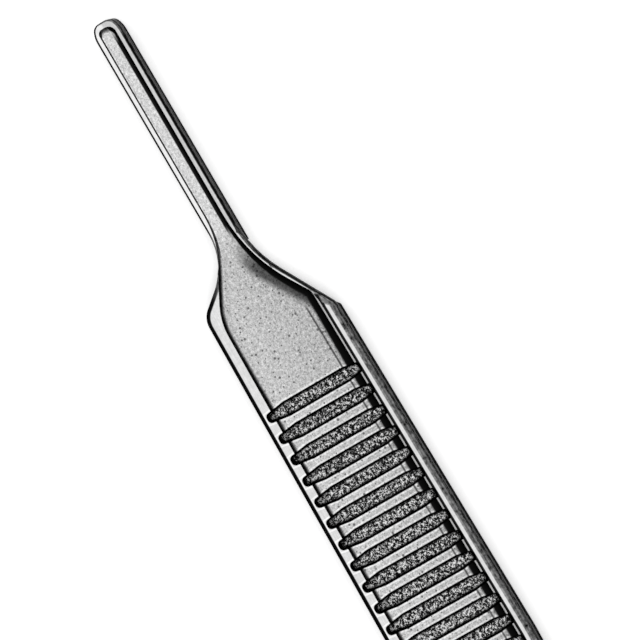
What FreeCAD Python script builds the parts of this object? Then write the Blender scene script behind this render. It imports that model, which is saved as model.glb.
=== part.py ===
import FreeCAD, Part
import math
import os

# A forged scalpel handle in one piece, in millimetres.
# It is built with its blade end at X = 0, its length along X, its blade side down, and
# is moved to its own middle at the end. The left side is -Y and the right side is +Y.

# Handle as a whole
overall_length = 125.0
body_thickness = 2.8
tongue_width = 2.17
shoulder_width = 9.46
widest_width = 10.5
widest_at = 57.0
butt_width = 7.6
butt_flat_width = 0.4

# Nose of the tongue: a blunt front between two slanted corners
nose_front_width = 1.5
nose_front_radius = 0.7
nose_corner_at = 0.9
nose_corner_radius = 2.0

# Neck, where the tongue widens into the body, steeper on the left
neck_left_at = 20.8
neck_left_radius = 5.2
shoulder_left_at = 23.75
shoulder_left_radius = 1.7
neck_right_at = 21.1
neck_right_radius = 9.6
shoulder_right_at = 27.7
shoulder_right_radius = 1.1

# Oblique step on both faces, where the body begins
step_angle = 46.0
upper_step_at = 22.4
upper_step_height = 0.35
upper_step_run = 0.6
upper_step_radius = 0.6
seat_height = 1.4
seat_step_at = 23.1

# Blade fitting: a flange held off the seat by a narrower web
groove_gap = 0.45
groove_depth = 0.43
flange_thickness = 0.55
flange_end_at = 20.1

# Recessed panel of the upper face, with a channel that runs on along the tongue.
# Its left wall is nearly upright, and its right wall climbs out of a wide cove to a bevel.
panel_depth = 0.75
left_wall_angle = 85.0
left_cove_radius = 0.4
channel_left_cove_radius = 0.1
right_wall_angle = 70.0
right_cove_radius = 1.25
right_bevel = 0.1
neck_wall_angle = 80.0
neck_cove_radius = 1.05
channel_wall_angle = 70.0
channel_cove_radius = 0.3
front_wall_angle = 50.0
rear_wall_angle = 45.0
end_cove_radius = 0.25
left_rim = 1.08
right_rim = 0.76
tongue_left_rim = 0.46
tongue_right_rim = 0.35
channel_front_at = 0.95
channel_front_radius = 0.3
panel_neck_left_at = 19.58
panel_neck_left_radius = 8.3
panel_shoulder_left_at = 24.68
panel_shoulder_left_radius = 4.85
panel_neck_right_at = 22.22
panel_neck_right_radius = 13.2
panel_shoulder_right_at = 26.14
panel_shoulder_right_radius = 0.1
panel_rear_margin = 3.4
panel_rear_radius = 2.4

# Recessed panel of the blade side
lower_panel_front_at = 32.0
lower_panel_front_radius = 2.4
lower_rim = 1.0
lower_wall_angle = 55.0
lower_cove_radius = 0.3

# Grip grooves across both panels: boat-shaped, with upright walls, and with a rounded bed
# on the upper face and a flat one on the blade side
groove_count = 15
groove_first_at = 32.94
groove_pitch = 1.88
groove_width = 1.23
groove_tip_width = 0.76
groove_tip_radius = 0.36
groove_taper_length = 1.6
groove_left_margin = 0.53
groove_right_margin = 0.65
groove_bed_depth = 0.34
groove_bed_radius = 0.3

# Rounding of the outer edges
body_edge_radius = 0.45
tongue_edge_radius = 0.2

# Bands that make up the coves, each turned by the same angle from the last in the widest
cove_bands = 4
cove_turn = 15.0

# Margin by which a cutter stands past the metal
over = 0.2

butt_radius = (butt_width - butt_flat_width) / 2
half_tongue = tongue_width / 2
tongue_top = body_thickness - upper_step_height
floor_height = body_thickness - panel_depth
NEAR = 0.001
FLAT = (FreeCAD.Vector(0, 0, 0), FreeCAD.Vector(1, 0, 0), FreeCAD.Vector(0, 1, 0))


def body_half_width(x):
    """Half the width of the body between its shoulders and its butt."""
    if x < widest_at:
        share = (x - shoulder_left_at) / (widest_at - shoulder_left_at)
        return (shoulder_width + (widest_width - shoulder_width) * share) / 2
    share = (x - widest_at) / (overall_length - widest_at)
    return (widest_width + (butt_width - widest_width) * share) / 2


def corner_arc(before, corner, after):
    """Start, middle and end of the tangent arc that rounds a corner of a path."""
    x, y, radius = corner
    back = FreeCAD.Vector(before[0] - x, before[1] - y, 0).normalize()
    ahead = FreeCAD.Vector(after[0] - x, after[1] - y, 0).normalize()
    half_angle = back.getAngle(ahead) / 2
    tangent = radius / math.tan(half_angle)
    bisector = (back + ahead).normalize()
    point = FreeCAD.Vector(x, y, 0)
    middle = point + bisector * (radius / math.sin(half_angle) - radius)
    return point + back * tangent, middle, point + ahead * tangent


def rounded_wire(corners, plane):
    """Closed wire through (a, b, radius) corners, laid on a plane."""
    origin, along, across = plane

    def placed(point):
        return origin + along * point.x + across * point.y

    arcs = []
    for index, corner in enumerate(corners):
        after = corners[(index + 1) % len(corners)]
        arcs.append([placed(point) for point in corner_arc(corners[index - 1], corner, after)])
    edges = []
    for index, (start, middle, end) in enumerate(arcs):
        if corners[index][2] > 0:
            edges.append(Part.Arc(start, middle, end).toShape())
        edges.append(Part.makeLine(end, arcs[(index + 1) % len(arcs)][0]))
    return Part.Wire(edges)


def offset_corners(corners, distances):
    """Corners of an anticlockwise outline whose sides each move outward by a distance."""
    sides = []
    for index, (x, y, radius) in enumerate(corners):
        after = corners[(index + 1) % len(corners)]
        direction = FreeCAD.Vector(after[0] - x, after[1] - y, 0).normalize()
        outward = FreeCAD.Vector(direction.y, -direction.x, 0)
        sides.append((FreeCAD.Vector(x, y, 0) + outward * distances[index], direction))
    moved = []
    for index, corner in enumerate(corners):
        point, direction = sides[index - 1]
        next_point, next_direction = sides[index]
        turn = direction.cross(next_direction).z
        reach = (next_point - point).cross(next_direction).z / turn
        crossing = point + direction * reach
        change = min(distances[index - 1], distances[index])
        radius = corner[2] and max(corner[2] + math.copysign(1, turn) * change, 0)
        moved.append((crossing.x, crossing.y, radius))
    return moved


def prism(corners, bottom, top):
    """Upright solid over a rounded outline."""
    face = Part.Face(rounded_wire(corners, FLAT))
    face.translate(FreeCAD.Vector(0, 0, bottom))
    return face.extrude(FreeCAD.Vector(0, 0, top - bottom))


def outline_corners():
    """Plan outline of the handle, anticlockwise from the left of the nose."""
    left = [
        (0.0, nose_front_width / 2, nose_front_radius),
        (nose_corner_at, half_tongue, nose_corner_radius),
        (neck_left_at, half_tongue, neck_left_radius),
        (shoulder_left_at, body_half_width(shoulder_left_at), shoulder_left_radius),
        (widest_at, widest_width / 2, 0),
        (overall_length, butt_width / 2, butt_radius),
    ]
    right = left[:2] + [
        (neck_right_at, half_tongue, neck_right_radius),
        (shoulder_right_at, body_half_width(shoulder_right_at), shoulder_right_radius),
    ] + left[4:]
    return [(x, -y, radius) for x, y, radius in left] + right[::-1]


def oblique_plane(x):
    """Upright plane square to the oblique steps, with its origin on the middle line."""
    angle = math.radians(step_angle)
    across = FreeCAD.Vector(math.cos(angle), -math.sin(angle), 0)
    return FreeCAD.Vector(x, 0, 0), across, FreeCAD.Vector(0, 0, 1)


def oblique_bar(corners, x):
    """Bar of a rounded section that crosses the handle along an oblique step."""
    plane = oblique_plane(x)
    face = Part.Face(rounded_wire(corners, plane))
    run = plane[1].cross(plane[2]) * (2 * overall_length)
    face.translate(run * -0.5)
    return face.extrude(run)


def below_upper_face():
    """Everything below the upper face, with its ramp up from the neck to the body."""
    return oblique_bar([
        (-overall_length, -over, 0),
        (2 * overall_length, -over, 0),
        (2 * overall_length, body_thickness, 0),
        (upper_step_run, body_thickness, upper_step_radius),
        (0, tongue_top, upper_step_radius),
        (-overall_length, tongue_top, 0),
    ], upper_step_at)


def blade_fitting():
    """Flange and web that the slot of a blade slides onto."""
    flange_top = seat_height - groove_gap
    flange_bottom = flange_top - flange_thickness
    flange = [
        (0.0, -nose_front_width / 2, nose_front_radius),
        (nose_corner_at, -half_tongue, nose_corner_radius),
        (flange_end_at, -half_tongue, 0),
        (flange_end_at, half_tongue, 0),
        (nose_corner_at, half_tongue, nose_corner_radius),
        (0.0, nose_front_width / 2, nose_front_radius),
    ]
    inset = -groove_depth
    web = offset_corners(flange, [inset, inset, 0, inset, inset, inset])
    return prism(flange, flange_bottom, flange_top).fuse(prism(web, flange_top, seat_height + over))


def seat_relief():
    """What lies below the blade seat, in front of the lower step."""
    return oblique_bar([
        (-overall_length, -over, 0),
        (0, -over, 0),
        (0, seat_height, 0),
        (-overall_length, seat_height, 0),
    ], seat_step_at)


def wall_run(wall, height):
    """How far a panel wall goes sideways by a height: out of its cove, then straight, then a bevel."""
    angle, radius, bevel = wall
    slope = math.radians(angle)
    rise = min(height, panel_depth - bevel)
    cove_height = radius * (1 - math.cos(slope))
    if rise < cove_height:
        run = math.sqrt(2 * radius * rise - rise ** 2)
    else:
        run = radius * math.sin(slope) + (rise - cove_height) / math.tan(slope)
    beyond = height - rise
    return run + (beyond if bevel else beyond / math.tan(slope))


def panel_cutter(corners, walls):
    """Pocket over the outline of its floor, whose sides widen upward as their walls run."""
    turns = [math.radians(cove_turn * number) for number in range(cove_bands)]
    heights = [right_cove_radius * (1 - math.cos(turn)) for turn in turns]
    heights += [panel_depth - right_bevel, panel_depth + over]
    sections = []
    for height in heights:
        plane = (FreeCAD.Vector(0, 0, height), FLAT[1], FLAT[2])
        runs = [wall_run(wall, height) for wall in walls]
        sections.append(rounded_wire(offset_corners(corners, runs), plane))
    return Part.makeLoft(sections, True, True)


def groove_centre(index):
    return groove_first_at + groove_pitch * index


def upper_panel():
    """Pocket of the upper face, from the tip of the tongue to past the last groove."""
    left_wall = (left_wall_angle, left_cove_radius, 0)
    channel_left_wall = (left_wall_angle, channel_left_cove_radius, 0)
    right_wall = (right_wall_angle, right_cove_radius, right_bevel)
    neck_wall = (neck_wall_angle, neck_cove_radius, 0)
    channel_wall = (channel_wall_angle, channel_cove_radius, 0)
    front_wall = (front_wall_angle, end_cove_radius, 0)
    rear_wall = (rear_wall_angle, end_cove_radius, 0)
    channel_depth = panel_depth - upper_step_height
    channel_left = -(half_tongue - tongue_left_rim - wall_run(channel_left_wall, channel_depth))
    channel_right = half_tongue - tongue_right_rim - wall_run(channel_wall, channel_depth)
    rear = groove_centre(groove_count - 1) + panel_rear_margin

    def left_at(x):
        return -(body_half_width(x) - left_rim - wall_run(left_wall, panel_depth))

    def right_at(x):
        return body_half_width(x) - right_rim - wall_run(right_wall, panel_depth)

    corners = [
        (channel_front_at, channel_left, channel_front_radius),
        (panel_neck_left_at, channel_left, panel_neck_left_radius),
        (panel_shoulder_left_at, left_at(panel_shoulder_left_at), panel_shoulder_left_radius),
        (widest_at, left_at(widest_at), 0),
        (rear, left_at(rear), panel_rear_radius),
        (rear, right_at(rear), panel_rear_radius),
        (widest_at, right_at(widest_at), 0),
        (panel_shoulder_right_at, right_at(panel_shoulder_right_at), panel_shoulder_right_radius),
        (panel_neck_right_at, channel_right, panel_neck_right_radius),
        (channel_front_at, channel_right, channel_front_radius),
    ]
    pocket = panel_cutter(corners, [channel_left_wall] + [left_wall] * 3 + [
        rear_wall, right_wall, right_wall, neck_wall, channel_wall, front_wall,
    ])
    pocket.translate(FreeCAD.Vector(0, 0, floor_height))
    return pocket


def lower_panel():
    """Pocket of the blade side, behind the seat."""
    wall = (lower_wall_angle, lower_cove_radius, 0)
    run = wall_run(wall, panel_depth)
    rear = groove_centre(groove_count - 1) + panel_rear_margin
    front = lower_panel_front_at
    side = [
        (front, body_half_width(front) - lower_rim - run, lower_panel_front_radius),
        (widest_at, body_half_width(widest_at) - lower_rim - run, 0),
        (rear, body_half_width(rear) - lower_rim - run, panel_rear_radius),
    ]
    corners = [(x, -y, radius) for x, y, radius in side] + side[::-1]
    pocket = panel_cutter(corners, [wall] * len(corners))
    pocket.rotate(FreeCAD.Vector(0, 0, 0), FreeCAD.Vector(1, 0, 0), 180)
    pocket.translate(FreeCAD.Vector(0, 0, panel_depth))
    return pocket


def grip_groove(index, bed, bed_radius, mouth):
    """Boat-shaped cutter across the handle, from its bed out past a face."""
    x = groove_centre(index)
    tip = groove_tip_width / 2
    half = groove_width / 2
    left = groove_left_margin - body_half_width(x)
    right = body_half_width(x) - groove_right_margin
    front = [
        (x - tip, right, groove_tip_radius),
        (x - half, right - groove_taper_length, 0),
        (x - half, left + groove_taper_length, 0),
        (x - tip, left, groove_tip_radius),
    ]
    corners = front + [(2 * x - near, y, radius) for near, y, radius in front[::-1]]
    trough = [
        (x - half, bed, bed_radius),
        (x + half, bed, bed_radius),
        (x + half, mouth, 0),
        (x - half, mouth, 0),
    ]
    plane = (FreeCAD.Vector(0, left, 0), FreeCAD.Vector(1, 0, 0), FreeCAD.Vector(0, 0, 1))
    section = Part.Face(rounded_wire(trough, plane))
    return prism(corners, bed, mouth).common(section.extrude(FreeCAD.Vector(0, right - left, 0)))


def with_round_edges(shape, radius_at):
    """Shape with the edges that follow its outline rounded, where a radius is given for them."""
    outline = rounded_wire(outline_corners(), FLAT)
    chosen = []
    for number, edge in enumerate(shape.Edges, start=1):
        first, last = edge.ParameterRange
        middle = edge.valueAt((first + last) / 2)
        on_outline = outline.distToShape(Part.Vertex(middle.x, middle.y, 0))[0] < NEAR
        upright = abs(edge.tangentAt(first).z) > 0.5
        radius = radius_at(middle)
        if on_outline and radius and not upright:
            chosen.append((number, radius_at(edge.Vertexes[0].Point), radius_at(edge.Vertexes[-1].Point)))
    document = FreeCAD.newDocument()
    base = document.addObject("Part::Feature")
    base.Shape = shape
    rounding = document.addObject("Part::Fillet")
    rounding.Base = base
    rounding.Edges = chosen
    document.recompute()
    return rounding.Shape


def outer_edge_radius(point):
    """Radius of the outer edges: full on the body, small on the tongue, changing on the ramp."""
    if point.z < NEAR:
        return body_edge_radius
    share = max(0, (point.z - tongue_top) / upper_step_height)
    return tongue_edge_radius + (body_edge_radius - tongue_edge_radius) * share


def rounded_blank():
    """Body and tongue with their outer edges rounded, before anything is cut into them.

    The front and the rear are rounded apart, because a radius that changes needs an open edge.
    """
    blank = prism(outline_corners(), 0, body_thickness + over).common(below_upper_face())
    corner = FreeCAD.Vector(-over, -widest_width, -over)
    front_space = Part.makeBox(widest_at, 2 * widest_width, 2 * body_thickness, corner)
    front = with_round_edges(blank.common(front_space), outer_edge_radius)
    rear = with_round_edges(blank.cut(front_space), outer_edge_radius)
    return front.fuse(rear).removeSplitter()


def handle():
    """The whole handle, with its blade end at X = 0."""
    solid = rounded_blank()
    solid = solid.cut(seat_relief().cut(blade_fitting()))
    solid = solid.cut([upper_panel(), lower_panel()])
    upper_bed = floor_height - groove_bed_depth
    lower_bed = panel_depth + groove_bed_depth
    grooves = []
    for index in range(groove_count):
        grooves.append(grip_groove(index, upper_bed, groove_bed_radius, body_thickness + over))
        if groove_centre(index) - groove_width / 2 > lower_panel_front_at:
            grooves.append(grip_groove(index, lower_bed, 0, -over))
    return solid.cut(grooves)


def build():
    os.makedirs("parts", exist_ok=True)
    solid = handle()
    solid.translate(FreeCAD.Vector(-overall_length / 2, 0, 0))
    solid.exportStep("parts/handle.step")


if __name__ == "__main__":
    build()
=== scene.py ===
import math

import bmesh
import bpy
from mathutils import Matrix, Vector


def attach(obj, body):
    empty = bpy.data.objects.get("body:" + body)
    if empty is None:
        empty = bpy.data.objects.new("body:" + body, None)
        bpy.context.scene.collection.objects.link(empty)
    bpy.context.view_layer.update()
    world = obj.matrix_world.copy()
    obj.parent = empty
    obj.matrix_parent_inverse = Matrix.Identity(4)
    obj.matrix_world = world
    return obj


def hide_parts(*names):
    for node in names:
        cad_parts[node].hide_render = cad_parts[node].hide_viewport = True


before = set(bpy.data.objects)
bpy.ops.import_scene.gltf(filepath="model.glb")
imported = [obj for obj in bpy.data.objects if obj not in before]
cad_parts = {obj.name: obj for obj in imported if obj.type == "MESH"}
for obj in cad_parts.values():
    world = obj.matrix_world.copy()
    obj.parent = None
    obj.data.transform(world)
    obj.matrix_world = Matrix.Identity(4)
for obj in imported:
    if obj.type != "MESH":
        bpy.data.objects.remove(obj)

# A forged scalpel handle that lies on a pale table, seen from above. Sizes in millimetres
# are the handle's own, and MM makes metres of them. The blade end points to -X, and the
# left side of the handle is -Y.
MM = 0.001

# Camera
CAMERA_AIM = Vector((-34.18, 3.23, 2.8)) * MM
CAMERA_TILT = math.radians(12.5)
CAMERA_ROLL = math.radians(30.25)
CAMERA_DISTANCE = 410 * MM
CAMERA_FIELD = 49.2 * MM
CAMERA_SENSOR = 36.0
CAMERA_SEES_FROM = 0.01
CAMERA_SEES_TO = 20

# Table and light
TABLE_HALF = 3.0
TABLE_WHITE = 0.85
TABLE_ROUGHNESS = 0.9
TABLE_GLOW = 0.80
TABLE_GLOW_IN_STEEL = 0.35
TABLE_SHADE_REACH = 2.5 * MM
SOFTBOX_SIZE = 1.2
SOFTBOX_DISTANCE = 0.6
SOFTBOX_LEAN = math.radians(10)
SOFTBOX_RADIANCE = 0.76
SURROUND_LEFT = 0.28
SURROUND_RIGHT = 0.42
SURROUND_TURN = (-0.2, 0.8)

# Levels of the handle's faces
UPPER_FACE = 2.8
TONGUE_TOP = 2.45
PANEL_FLOOR = 2.05
SEAT = 1.4
LOWER_FLOOR = 0.75

# Plan of the body, whose half width falls to both ends from its widest place
HALF_LENGTH = 62.5
WIDEST_AT = -5.5
WIDEST_HALF = 5.25
SHOULDER_AT = -38.75
SHOULDER_HALF = 4.73
BUTT_HALF = 3.8
FALL_TO_SHOULDER = (WIDEST_HALF - SHOULDER_HALF) / (WIDEST_AT - SHOULDER_AT)
FALL_TO_BUTT = (WIDEST_HALF - BUTT_HALF) / (HALF_LENGTH - WIDEST_AT)

# Grip grooves, as the handle has them
GROOVE_FIRST = 32.94 - HALF_LENGTH
GROOVE_PITCH = 1.88
GROOVE_COUNT = 15
GROOVE_WIDTH = 1.23
GROOVE_TIP_WIDTH = 0.76
GROOVE_TAPER = 1.6
GROOVE_LEFT_MARGIN = 0.53
GROOVE_RIGHT_MARGIN = 0.65

# Greys of the steel, and what the tongue, the textures and the painted highlight round the groove outlines
# add to them
RIM_GREY = 0.72
RIM_BRUSHING = 0.2
RIM_MOTTLE = 0.2
FLOOR_GREY = 0.54
FLOOR_MOTTLE = 0.9
# Painted shade that darkens the floor towards the right
FLOOR_SHADE_TO_RIGHT = 0.02
CHANNEL_RIM_GAIN = 0.12
CHANNEL_FLOOR_GAIN = 0.16
CHANNEL_RIGHT_RIM_LOSS = 0.25
# Painted highlight round the groove outlines, on the left rim and on the floor
GROOVE_EDGE_HIGHLIGHT_RIM_GAIN = 0.2
GROOVE_EDGE_HIGHLIGHT_FLOOR_GAIN = 0.25
PIT_GREY = 0.16
SIDE_GREY = 0.17
SIDE_MOTTLE = 0.55
# Painted highlight line along the sides at the seat level
SEAT_HIGHLIGHT_GREY = 0.4
# Painted shade for the dark lines and the lower sides
PAINTED_SHADE_GREY = 0.01
# Painted highlight band along the top of the right wall
HIGHLIGHT_BAND_GREY = 0.95
GROOVE_DARK = 0.01
GROOVE_LIGHT = 1.0

# Roughness of the steel, and the tint of its steep faces at a glancing view
RIM_ROUGHNESS = 0.24
SIDE_ROUGHNESS = 0.34
FLOOR_ROUGHNESS = 0.36
GROOVE_ROUGHNESS = 0.6
STEEP_TINT = 0.15

# Grains, pits and patches of pits, to the millimetre
FLOOR_GRAINS = 4.4
GROOVE_GRAINS = 4.0
SIDE_GRAINS = 1.6
PITS = 1.4
PIT_PATCHES = 0.9

# Make-up of the grain, the pits and the polishing lines, with the pits in parts of their spacing
NOISE_ROUGHNESS = 0.6
GRAIN_DETAIL = 2
FINE_TO_COARSE = 2.6
PIT_SIZE = 0.1
PIT_SIZE_SPREAD = 0.42
SMALLEST_PIT = 0.001
PIT_EDGE = (0.0, 0.5)
BRUSHING_STRETCH = (0.35, 9, 9)
BRUSHING_DETAIL = 4

# Relief of the steel, and how much of it the rims and the grooves have
RELIEF = 0.01 * MM
RIM_RELIEF = 0.15
GROOVE_RELIEF = 3

# Shade where walls meet floors
SHADE_SAMPLES = 8
CORNER_REACH = 0.6 * MM
CORNER_DEPTH = 1.2

# Zones of the steel by how a face lies, each from where it starts to where it is full
STEEP = (0.97, 0.8)
FLAT_ENOUGH = (0.5, 0.8)
# Faces that get painted shade: the panel's right and left walls, the left outer edge and the ramp
WALL_FACES_LEFT = (-0.12, -0.24)
LEFT_WALL_FACES_RIGHT = (0.2, 0.4)
EDGE_FACES_LEFT = (-0.05, -0.16)
RAMP_FACES_BLADE = (-0.12, -0.25)
# Faces that get the painted highlight band
HIGHLIGHT_BAND_FACES_LEFT = (-0.5, -0.65)
HIGHLIGHT_BAND_SLOPE = (0.1, 0.3)

# Zones by height, in millimetres
NEAR_FLOOR = (0.25, 0.1)
ABOVE_UNDERSIDE = (0.0, 0.03)
# Painted shade on the sides, from the seat down
LOWER_SIDE_SHADE = (SEAT, SEAT / 2)
# Heights above which the panel's right wall and the left outer edge get painted shade
WALL_ABOVE = (PANEL_FLOOR - 0.05, PANEL_FLOOR - 0.02)
EDGE_ABOVE = (PANEL_FLOOR - 0.05, PANEL_FLOOR + 0.15)
OUTER_RIM_ABOVE = (UPPER_FACE - 0.25, UPPER_FACE - 0.2)
# Height above which the right rim gets its painted shade line
RIM_LINE_ABOVE = (UPPER_FACE - 0.12, UPPER_FACE - 0.08)
BELOW_UPPER_FACE = (UPPER_FACE, UPPER_FACE - 0.03)

# Zones by place across and along the handle
ON_RIGHT = (-0.1, 0.1)
# Where across the handle the ramp's painted shade ends
RAMP_INSIDE = (4.15, 4.0)
CHANNEL = (-41.0, -45.0)

# Zones by distance from the body's right side
OUTER_RIM = (0.4, 0.3)
# Painted shade on the grooves' right tips
GROOVE_RIGHT_TIP_SHADE = (1.07, 1.31)

# Zones by distance inside a groove's outline, and the painted shade along its sides and tips
IN_GROOVE = (-0.03, 0.0)
GROOVE_SIDE_SHADE = (0.1, 0.34)
GROOVE_TIP_SHADE = (0.0, 0.14)

# Tone of the grain that makes granules
GRANULES = (-0.05, 0.18)

# How dark some of the painted shade zones are, out of 1
FOOT_LINE_SHADE_SHARE = 0.8
LEFT_WALL_SHADE_SHARE = 0.85
LOWER_SIDE_SHADE_SHARE = 0.9
NECK_SHADE_SHARE = 0.85

# Zones between two heights, with the softness of both limits, for painted highlights and painted shade
SEAT_HIGHLIGHT = (SEAT, SEAT + 0.22, 0.05)
FOOT_HEIGHT = (PANEL_FLOOR - 0.05, PANEL_FLOOR + 0.05, 0.01)
NECK_HEIGHT = (PANEL_FLOOR - 0.05, PANEL_FLOOR + 0.35, 0.01)
LEFT_WALL = (PANEL_FLOOR + 0.19, UPPER_FACE - 0.01, 0.02)
RAMP = (TONGUE_TOP + 0.01, UPPER_FACE - 0.01, 0.01)
HIGHLIGHT_BAND = (TONGUE_TOP, UPPER_FACE - 0.11, 0.02)

# Zones between two places along the handle, where painted shade runs or stops
CHANNEL_SHADE_ALONG = (-61.2, -43.4, 0.8)
LEFT_NECK_ALONG = (-44.0, -40.2, 0.8)
NECK_SHADE_ALONG = (-41.6, -34.8, 1.8)
FOOT_ALONG = (-35.6, -2.2, 0.5)
RIM_LINE_ALONG = (-36.0, -1.9, 0.3)

# Painted shade lines between two distances from the body's right side, and the painted highlight round the
# grooves
RIM_LINE = (0.62, 0.8, 0.02)
FOOT_LINE = (2.07, 2.22, 0.03)
GROOVE_EDGE_HIGHLIGHT = (-0.16, -0.02, 0.03)

# Foot of the right wall, straight in the channel and slanting in the neck, and the shades before it
FOOT_Y = 0.38
NECK_FOOT_AT = -40.28
NECK_SLOPE = 0.62
NECK_ROUNDING = 1.0
NECK_SHADE = (0.85, 0.0)
CHANNEL_SHADE = (0.18, 0.1)

# Merging and smoothing of the shown copy
MERGE_WITHIN = 0.0005 * MM
SMOOTH_ANGLE = math.radians(32)


def make_camera():
    """Camera above the tongue and the grip, a little to the right of the handle."""
    across = Vector((0, math.cos(CAMERA_TILT), -math.sin(CAMERA_TILT)))
    back = Vector((0, math.sin(CAMERA_TILT), math.cos(CAMERA_TILT)))
    along = Vector((1, 0, 0))
    right = along * math.sin(CAMERA_ROLL) + across * math.cos(CAMERA_ROLL)
    up = across * math.sin(CAMERA_ROLL) - along * math.cos(CAMERA_ROLL)
    turn = Matrix((right, up, back)).transposed()
    data = bpy.data.cameras.new("camera")
    data.sensor_width = CAMERA_SENSOR
    data.lens = CAMERA_SENSOR * CAMERA_DISTANCE / CAMERA_FIELD
    data.clip_start = CAMERA_SEES_FROM
    data.clip_end = CAMERA_SEES_TO
    camera = bpy.data.objects.new("camera", data)
    place = Matrix.Translation(CAMERA_AIM + back * CAMERA_DISTANCE)
    camera.matrix_world = place @ turn.to_4x4()
    bpy.context.scene.collection.objects.link(camera)
    bpy.context.scene.camera = camera


def set_input(tree, socket, value):
    """Sets a node's input to a number, or links another node's output to it."""
    if isinstance(value, bpy.types.NodeSocket):
        tree.links.new(value, socket)
    else:
        socket.default_value = value


def calc(tree, operation, *values):
    """Output of a math node whose inputs are numbers or outputs of other nodes."""
    node = tree.nodes.new("ShaderNodeMath")
    node.operation = operation
    for socket, value in zip(node.inputs, values):
        set_input(tree, socket, value)
    return node.outputs[0]


def soft_step(tree, value, zone):
    """0 where a zone starts, 1 where it is full, and smooth between."""
    node = tree.nodes.new("ShaderNodeMapRange")
    node.interpolation_type = "SMOOTHSTEP"
    set_input(tree, node.inputs["Value"], value)
    node.inputs["From Min"].default_value, node.inputs["From Max"].default_value = zone
    return node.outputs["Result"]


def all_of(tree, *shares):
    """How far all of several shares hold."""
    result = shares[0]
    for share in shares[1:]:
        result = calc(tree, "MULTIPLY", result, share)
    return result


def between(tree, value, zone):
    """1 between a zone's two limits and 0 outside them."""
    low, high, softness = zone
    return all_of(tree, soft_step(tree, value, (low - softness, low + softness)),
                  soft_step(tree, value, (high + softness, high - softness)))


def rest_of(tree, share):
    """How far a share doesn't hold."""
    return calc(tree, "SUBTRACT", 1, share)


def mixed(tree, share, low, high):
    """Value that goes from low to high with the share."""
    node = tree.nodes.new("ShaderNodeMix")
    set_input(tree, node.inputs[0], share)
    set_input(tree, node.inputs[2], low)
    set_input(tree, node.inputs[3], high)
    return node.outputs[0]


def noise(tree, place, scale, detail):
    """Noise about 0 over a place in millimetres, with so many features to the millimetre."""
    node = tree.nodes.new("ShaderNodeTexNoise")
    node.inputs["Detail"].default_value = detail
    node.inputs["Roughness"].default_value = NOISE_ROUGHNESS
    set_input(tree, node.inputs["Scale"], scale)
    tree.links.new(place, node.inputs["Vector"])
    return calc(tree, "SUBTRACT", node.outputs[0], 0.5)


def new_group(name, inputs, outputs):
    """Empty shader group with a place and further numbers going in, and numbers coming out."""
    group = bpy.data.node_groups.new(name, "ShaderNodeTree")
    group.interface.new_socket("Place", in_out="INPUT", socket_type="NodeSocketVector")
    for label in inputs:
        group.interface.new_socket(label, in_out="INPUT", socket_type="NodeSocketFloat")
    for label in outputs:
        group.interface.new_socket(label, in_out="OUTPUT", socket_type="NodeSocketFloat")
    given = group.nodes.new("NodeGroupInput").outputs
    result = group.nodes.new("NodeGroupOutput").inputs
    return group, given, result


def use_group(tree, group, place, **numbers):
    """Outputs of a group placed in a tree."""
    node = tree.nodes.new("ShaderNodeGroup")
    node.node_tree = group
    tree.links.new(place, node.inputs["Place"])
    for label, value in numbers.items():
        set_input(tree, node.inputs[label], value)
    return node.outputs


def separated(tree, vector):
    """The three parts of a vector."""
    node = tree.nodes.new("ShaderNodeSeparateXYZ")
    tree.links.new(vector, node.inputs[0])
    return node.outputs["X"], node.outputs["Y"], node.outputs["Z"]


def make_groove_group():
    """How far a place is inside a groove's sides and its tips, and from the body's right side."""
    group, given, result = new_group("groove_plan", [], ["Across", "Along", "From right"])
    x, y, _ = separated(group, given["Place"])
    pitches = calc(group, "DIVIDE", calc(group, "SUBTRACT", x, GROOVE_FIRST), GROOVE_PITCH)
    number = calc(group, "MAXIMUM", calc(group, "ROUND", pitches), 0)
    number = calc(group, "MINIMUM", number, GROOVE_COUNT - 1)
    middle = calc(group, "MULTIPLY_ADD", number, GROOVE_PITCH, GROOVE_FIRST)
    aside = calc(group, "ABSOLUTE", calc(group, "SUBTRACT", x, middle))
    past_widest = calc(group, "SUBTRACT", x, WIDEST_AT)
    fall = calc(group, "MAXIMUM", calc(group, "MULTIPLY", past_widest, -FALL_TO_SHOULDER),
                calc(group, "MULTIPLY", past_widest, FALL_TO_BUTT))
    half_body = calc(group, "SUBTRACT", WIDEST_HALF, fall)
    from_left = calc(group, "ADD", half_body, y)
    from_right = calc(group, "SUBTRACT", half_body, y)
    along = calc(group, "MINIMUM", calc(group, "SUBTRACT", from_left, GROOVE_LEFT_MARGIN),
                 calc(group, "SUBTRACT", from_right, GROOVE_RIGHT_MARGIN))
    share = calc(group, "MAXIMUM", calc(group, "DIVIDE", along, GROOVE_TAPER), 0)
    share = calc(group, "MINIMUM", share, 1)
    widening = (GROOVE_WIDTH - GROOVE_TIP_WIDTH) / 2
    half_groove = calc(group, "MULTIPLY_ADD", share, widening, GROOVE_TIP_WIDTH / 2)
    group.links.new(calc(group, "SUBTRACT", half_groove, aside), result["Across"])
    group.links.new(along, result["Along"])
    group.links.new(from_right, result["From right"])
    return group


def make_grain_group():
    """Fine mottle of etched steel about 0, from coarse and fine grains."""
    group, given, result = new_group("grain", ["Grains"], ["Tone"])
    coarse = noise(group, given["Place"], given["Grains"], GRAIN_DETAIL)
    fine_grains = calc(group, "MULTIPLY", given["Grains"], FINE_TO_COARSE)
    fine = noise(group, given["Place"], fine_grains, GRAIN_DETAIL)
    group.links.new(calc(group, "ADD", coarse, fine), result["Tone"])
    return group


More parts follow.
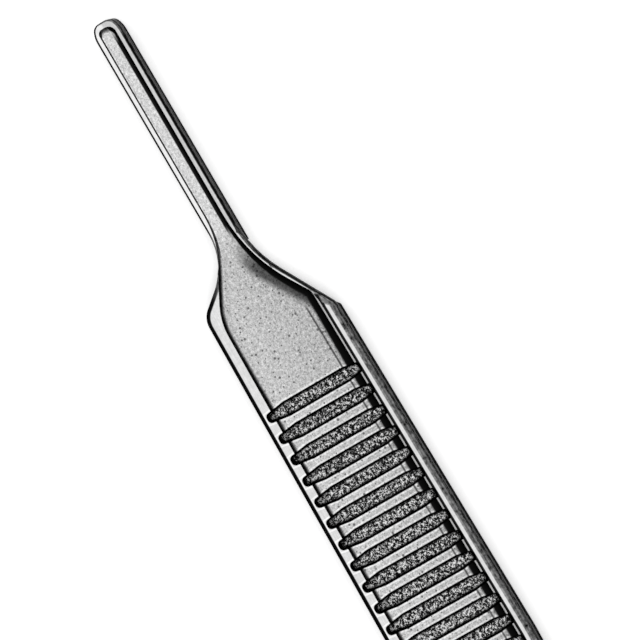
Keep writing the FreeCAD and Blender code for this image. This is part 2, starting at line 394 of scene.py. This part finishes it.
def make_pit_group():
    """Small round pits, 1 in the middle of each, as large as a slow noise allows."""
    group, given, result = new_group("pits", ["Pits"], ["Pit"])
    cells = group.nodes.new("ShaderNodeTexVoronoi")
    cells.voronoi_dimensions = "2D"
    group.links.new(given["Place"], cells.inputs["Vector"])
    group.links.new(given["Pits"], cells.inputs["Scale"])
    patches = noise(group, given["Place"], PIT_PATCHES, 1)
    size = calc(group, "MULTIPLY_ADD", patches, PIT_SIZE_SPREAD, PIT_SIZE)
    size = calc(group, "MAXIMUM", size, SMALLEST_PIT)
    depth = rest_of(group, calc(group, "DIVIDE", cells.outputs["Distance"], size))
    group.links.new(soft_step(group, depth, PIT_EDGE), result["Pit"])
    return group


def make_brush_group():
    """Fine polishing lines along the handle, about 0."""
    group, given, result = new_group("brushing", [], ["Tone"])
    stretched = group.nodes.new("ShaderNodeMapping")
    stretched.inputs["Scale"].default_value = BRUSHING_STRETCH
    group.links.new(given["Place"], stretched.inputs["Vector"])
    lines = noise(group, stretched.outputs["Vector"], 1.0, BRUSHING_DETAIL)
    group.links.new(lines, result["Tone"])
    return group


def new_material(name):
    """New material with its node tree and its shader."""
    material = bpy.data.materials.new(name)
    material.use_nodes = True
    tree = material.node_tree
    return material, tree, tree.nodes["Principled BSDF"]


def occlusion(tree, reach):
    """1 in the open, less where something stands within the reach."""
    shade = tree.nodes.new("ShaderNodeAmbientOcclusion")
    shade.samples = SHADE_SAMPLES
    shade.inputs["Distance"].default_value = reach
    return shade.outputs["AO"]


def make_table():
    """Plain white table top. It looks white to the camera and in the steel, less so near the handle."""
    material, tree, shader = new_material("table_white")
    shader.inputs["Base Color"].default_value = (TABLE_WHITE, TABLE_WHITE, TABLE_WHITE, 1)
    shader.inputs["Roughness"].default_value = TABLE_ROUGHNESS
    path = tree.nodes.new("ShaderNodeLightPath")
    to_camera = calc(tree, "MULTIPLY", path.outputs["Is Camera Ray"], TABLE_GLOW)
    glow = calc(tree, "MULTIPLY_ADD", path.outputs["Is Glossy Ray"], TABLE_GLOW_IN_STEEL, to_camera)
    glow = calc(tree, "MULTIPLY", glow, occlusion(tree, TABLE_SHADE_REACH))
    shader.inputs["Emission Color"].default_value = (1, 1, 1, 1)
    tree.links.new(glow, shader.inputs["Emission Strength"])
    corners = [(x, y, 0) for x, y in ((-1, -1), (1, -1), (1, 1), (-1, 1))]
    mesh = bpy.data.meshes.new("table")
    mesh.from_pydata([Vector(corner) * TABLE_HALF for corner in corners], [], [(0, 1, 2, 3)])
    mesh.materials.append(material)
    table = bpy.data.objects.new("table", mesh)
    bpy.context.scene.collection.objects.link(table)


def make_lights():
    """One large soft lamp overhead, leaning to the right, in a pale room that is darker to the left."""
    world = bpy.data.worlds.new("studio")
    bpy.context.scene.world = world
    world.use_nodes = True
    tree = world.node_tree
    background = tree.nodes["Background"]
    direction = tree.nodes.new("ShaderNodeTexCoord").outputs["Generated"]
    share = soft_step(tree, separated(tree, direction)[1], SURROUND_TURN)
    tree.links.new(mixed(tree, share, SURROUND_LEFT, SURROUND_RIGHT), background.inputs["Strength"])
    background.inputs["Color"].default_value = (1, 1, 1, 1)
    data = bpy.data.lights.new("softbox", "AREA")
    data.shape = "SQUARE"
    data.size = SOFTBOX_SIZE
    data.energy = math.pi * SOFTBOX_SIZE ** 2 * SOFTBOX_RADIANCE
    lamp = bpy.data.objects.new("softbox", data)
    lean = Matrix.Rotation(-SOFTBOX_LEAN, 4, "X")
    lamp.matrix_world = lean @ Matrix.Translation((0, 0, SOFTBOX_DISTANCE))
    lamp.visible_camera = False
    bpy.context.scene.collection.objects.link(lamp)


def steel_textures(tree, place):
    """Tones and outlines that the zones of the steel are made from."""
    grain = make_grain_group()
    plan = use_group(tree, make_groove_group(), place)
    return {
        "floor grain": use_group(tree, grain, place, Grains=FLOOR_GRAINS)["Tone"],
        "groove grain": use_group(tree, grain, place, Grains=GROOVE_GRAINS)["Tone"],
        "side grain": use_group(tree, grain, place, Grains=SIDE_GRAINS)["Tone"],
        "brushing": use_group(tree, make_brush_group(), place)["Tone"],
        "pit": use_group(tree, make_pit_group(), place, Pits=PITS)["Pit"],
        "across": plan["Across"],
        "along": plan["Along"],
        "from right": plan["From right"],
    }


def steel_zones(tree, place, facing, textures):
    """How far each zone of the steel holds at a place."""
    x, y, z = separated(tree, place)
    _, facing_y, facing_z = separated(tree, facing)
    level = calc(tree, "ABSOLUTE", facing_z)
    off_upper = calc(tree, "ABSOLUTE", calc(tree, "SUBTRACT", z, PANEL_FLOOR))
    off_lower = calc(tree, "ABSOLUTE", calc(tree, "SUBTRACT", z, LOWER_FLOOR))
    off_floor = calc(tree, "MINIMUM", off_upper, off_lower)
    in_outline = calc(tree, "MINIMUM", textures["across"], textures["along"])
    on_right = soft_step(tree, y, ON_RIGHT)
    on_left = rest_of(tree, on_right)
    steep = soft_step(tree, level, STEEP)
    zones = {
        "steep": steep,
        "to right": y,
        "right": on_right,
        "left": on_left,
        "channel": soft_step(tree, x, CHANNEL),
        "floor": all_of(tree, soft_step(tree, off_floor, NEAR_FLOOR), soft_step(tree, level, FLAT_ENOUGH)),
        "groove": all_of(tree, soft_step(tree, in_outline, IN_GROOVE), soft_step(tree, z, BELOW_UPPER_FACE),
                         soft_step(tree, z, ABOVE_UNDERSIDE)),
        # Painted highlight just outside the groove outlines
        "groove edge highlight": between(tree, in_outline, GROOVE_EDGE_HIGHLIGHT),
        # Painted highlight band along the top of the right wall
        "band": all_of(tree, on_right, between(tree, z, HIGHLIGHT_BAND), soft_step(tree, facing_y, HIGHLIGHT_BAND_FACES_LEFT),
                       soft_step(tree, level, HIGHLIGHT_BAND_SLOPE)),
        "outer rim": all_of(tree, soft_step(tree, textures["from right"], OUTER_RIM),
                            soft_step(tree, z, OUTER_RIM_ABOVE)),
        # Painted shade on the lower sides and a painted highlight line at the seat level
        "lower side shade": all_of(tree, steep, soft_step(tree, z, LOWER_SIDE_SHADE), LOWER_SIDE_SHADE_SHARE),
        "seat highlight": all_of(tree, steep, between(tree, z, SEAT_HIGHLIGHT)),
    }
    # Painted shade lines on walls, rims and floors
    zones["lines"] = wall_shade_lines(tree, place, facing, zones)
    zones["lines"] += panel_shade_lines(tree, place, textures) + foot_shades(tree, place)
    return zones


def wall_shade_lines(tree, place, facing, zones):
    """Painted shade on walls: the panel's right and left ones, the left outer edge and the ramp."""
    x, y, z = separated(tree, place)
    facing_x, facing_y, _ = separated(tree, facing)
    right_wall_shade = all_of(tree, zones["right"], soft_step(tree, facing_y, WALL_FACES_LEFT),
                        soft_step(tree, z, WALL_ABOVE))
    left_wall_shade = all_of(tree, zones["left"], soft_step(tree, facing_y, LEFT_WALL_FACES_RIGHT),
                       between(tree, z, LEFT_WALL), LEFT_WALL_SHADE_SHARE)
    left_edge_shade = all_of(tree, zones["left"], soft_step(tree, facing_y, EDGE_FACES_LEFT),
                       soft_step(tree, z, EDGE_ABOVE), rest_of(tree, between(tree, x, LEFT_NECK_ALONG)))
    ramp = all_of(tree, zones["right"], soft_step(tree, facing_x, RAMP_FACES_BLADE),
                  between(tree, z, RAMP), soft_step(tree, y, RAMP_INSIDE))
    return [right_wall_shade, left_wall_shade, left_edge_shade, ramp]


def panel_shade_lines(tree, place, textures):
    """Painted shade lines along the panel's right rim and along the foot of its right wall."""
    x, _, z = separated(tree, place)
    rim_shade_line = all_of(tree, between(tree, textures["from right"], RIM_LINE),
                      soft_step(tree, z, RIM_LINE_ABOVE), between(tree, x, RIM_LINE_ALONG))
    foot_shade_line = all_of(tree, between(tree, textures["from right"], FOOT_LINE),
                       between(tree, z, FOOT_HEIGHT), between(tree, x, FOOT_ALONG), FOOT_LINE_SHADE_SHARE)
    return [rim_shade_line, foot_shade_line]


def foot_shades(tree, place):
    """Shades on the floor before the foot of the right wall: wide in the neck, thin in the channel."""
    x, y, z = separated(tree, place)
    foot = calc(tree, "MULTIPLY_ADD", calc(tree, "SUBTRACT", x, NECK_FOOT_AT), NECK_SLOPE, FOOT_Y)
    foot = calc(tree, "SMOOTH_MAX", foot, FOOT_Y, NECK_ROUNDING)
    before_foot = calc(tree, "SUBTRACT", foot, y)
    on_floor = between(tree, z, NECK_HEIGHT)
    in_neck = all_of(tree, on_floor, between(tree, x, NECK_SHADE_ALONG),
                     soft_step(tree, before_foot, NECK_SHADE), NECK_SHADE_SHARE)
    in_channel = all_of(tree, on_floor, between(tree, x, CHANNEL_SHADE_ALONG),
                        soft_step(tree, before_foot, CHANNEL_SHADE))
    return [in_neck, in_channel]


def rim_grey(tree, zones, textures):
    """Bright polished faces with faint lines, brighter on the tongue's left, with a painted highlight at
    the left groove tips.
    """
    grey = calc(tree, "MULTIPLY_ADD", textures["brushing"], RIM_BRUSHING, RIM_GREY)
    grey = calc(tree, "MULTIPLY_ADD", textures["side grain"], RIM_MOTTLE, grey)
    grey = calc(tree, "MULTIPLY_ADD", zones["channel"], CHANNEL_RIM_GAIN, grey)
    on_right_rim = all_of(tree, zones["channel"], zones["right"])
    grey = calc(tree, "MULTIPLY_ADD", on_right_rim, -CHANNEL_RIGHT_RIM_LOSS, grey)
    return calc(tree, "MULTIPLY_ADD", all_of(tree, zones["groove edge highlight"], zones["left"]), GROOVE_EDGE_HIGHLIGHT_RIM_GAIN, grey)


def side_grey(tree, zones, textures):
    """Mottled sides, with a thin painted highlight line halfway down and painted shade on the lower half.
    """
    grey = calc(tree, "MULTIPLY_ADD", textures["side grain"], SIDE_MOTTLE, SIDE_GREY)
    grey = mixed(tree, zones["lower side shade"], grey, PAINTED_SHADE_GREY)
    return mixed(tree, zones["seat highlight"], grey, SEAT_HIGHLIGHT_GREY)


def floor_grey(tree, zones, textures):
    """Stippled floor with small pits, a painted highlight round the grooves and painted shade towards the
    right, and painted shade along its walls, except in the tongue's channel.
    """
    grey = calc(tree, "MULTIPLY_ADD", textures["floor grain"], FLOOR_MOTTLE, FLOOR_GREY)
    grey = calc(tree, "MULTIPLY_ADD", zones["groove edge highlight"], GROOVE_EDGE_HIGHLIGHT_FLOOR_GAIN, grey)
    grey = calc(tree, "MULTIPLY_ADD", zones["to right"], -FLOOR_SHADE_TO_RIGHT, grey)
    grey = calc(tree, "MULTIPLY_ADD", zones["channel"], CHANNEL_FLOOR_GAIN, grey)
    pits = all_of(tree, textures["pit"], rest_of(tree, zones["channel"]))
    grey = mixed(tree, pits, grey, PIT_GREY)
    shade = calc(tree, "POWER", occlusion(tree, CORNER_REACH), CORNER_DEPTH)
    return all_of(tree, grey, mixed(tree, zones["channel"], shade, 1.0))


def groove_grey(tree, textures):
    """Bright granules in dark grooves, with painted shade along their sides and tips."""
    granules = soft_step(tree, textures["groove grain"], GRANULES)
    return all_of(tree, mixed(tree, granules, GROOVE_DARK, GROOVE_LIGHT),
                  soft_step(tree, textures["across"], GROOVE_SIDE_SHADE),
                  soft_step(tree, textures["along"], GROOVE_TIP_SHADE),
                  soft_step(tree, textures["from right"], GROOVE_RIGHT_TIP_SHADE))


def steel_relief(tree, zones, textures):
    """Fine relief: lines on the rims, stipple and pits on the floors, coarse grains in the grooves."""
    height = calc(tree, "MULTIPLY", textures["brushing"], RIM_RELIEF)
    stipple = calc(tree, "SUBTRACT", textures["floor grain"], textures["pit"])
    height = mixed(tree, zones["floor"], height, stipple)
    granules = calc(tree, "MULTIPLY", textures["groove grain"], GROOVE_RELIEF)
    height = mixed(tree, zones["groove"], height, granules)
    bump = tree.nodes.new("ShaderNodeBump")
    bump.inputs["Strength"].default_value = 1
    bump.inputs["Distance"].default_value = RELIEF
    tree.links.new(height, bump.inputs["Height"])
    return bump.outputs["Normal"]


def steel_grey(tree, zones, textures):
    """Grey of the steel at a place: its faces first, then the painted shade lines, the painted highlight
    band and the grooves on them.
    """
    side = side_grey(tree, zones, textures)
    grey = mixed(tree, zones["outer rim"], rim_grey(tree, zones, textures), side)
    grey = mixed(tree, zones["steep"], grey, side)
    grey = mixed(tree, zones["floor"], grey, floor_grey(tree, zones, textures))
    # Painted shade lines over the faces
    for line in zones["lines"]:
        grey = mixed(tree, line, grey, PAINTED_SHADE_GREY)
    grey = mixed(tree, zones["band"], grey, HIGHLIGHT_BAND_GREY)
    return mixed(tree, zones["groove"], grey, groove_grey(tree, textures))


def steel_roughness(tree, zones):
    """Polished rims, duller sides and floors, and rough grooves."""
    rough = mixed(tree, zones["steep"], RIM_ROUGHNESS, SIDE_ROUGHNESS)
    rough = mixed(tree, zones["floor"], rough, FLOOR_ROUGHNESS)
    return mixed(tree, zones["groove"], rough, GROOVE_ROUGHNESS)


def make_steel():
    """Polished rims, stippled panel floors, dark granular grooves and mottled sides."""
    material, tree, shader = new_material("steel")
    coordinates = tree.nodes.new("ShaderNodeTexCoord")
    in_millimetres = tree.nodes.new("ShaderNodeVectorMath")
    in_millimetres.operation = "SCALE"
    in_millimetres.inputs["Scale"].default_value = 1 / MM
    tree.links.new(coordinates.outputs["Object"], in_millimetres.inputs[0])
    place = in_millimetres.outputs["Vector"]
    textures = steel_textures(tree, place)
    zones = steel_zones(tree, place, coordinates.outputs["Normal"], textures)

    grey = steel_grey(tree, zones, textures)
    color = tree.nodes.new("ShaderNodeCombineColor")
    for part in color.inputs:
        tree.links.new(grey, part)
    tree.links.new(color.outputs[0], shader.inputs["Base Color"])
    tree.links.new(steel_roughness(tree, zones), shader.inputs["Roughness"])
    tree.links.new(mixed(tree, zones["steep"], 1.0, STEEP_TINT), shader.inputs["Specular Tint"])
    # The painted highlight band is not metallic, so the lamp lights it like paint
    open_highlight_band = all_of(tree, zones["band"], rest_of(tree, zones["groove"]))
    tree.links.new(rest_of(tree, open_highlight_band), shader.inputs["Metallic"])
    tree.links.new(steel_relief(tree, zones, textures), shader.inputs["Normal"])
    return material


def smooth_copy(node, material):
    """Copy of a solid with its facets merged and its rounded edges shaded smooth."""
    mesh = node.data.copy()
    merged = bmesh.new()
    merged.from_mesh(mesh)
    bmesh.ops.remove_doubles(merged, verts=merged.verts, dist=MERGE_WITHIN)
    merged.to_mesh(mesh)
    merged.free()
    if "custom_normal" in mesh.attributes:
        mesh.attributes.remove(mesh.attributes["custom_normal"])
    mesh.shade_smooth()
    mesh.set_sharp_from_angle(angle=SMOOTH_ANGLE)
    mesh.materials.clear()
    mesh.materials.append(material)
    piece = bpy.data.objects.new("handle_steel", mesh)
    bpy.context.scene.collection.objects.link(piece)
    weighted = piece.modifiers.new("flat_faces_stay_flat", "WEIGHTED_NORMAL")
    weighted.keep_sharp = True
    weighted.weight = 100
    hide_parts("handle")
    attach(piece, "root")


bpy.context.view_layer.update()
make_camera()
make_table()
make_lights()
smooth_copy(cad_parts["handle"], make_steel())
bpy.context.scene.view_settings.view_transform = "Standard"
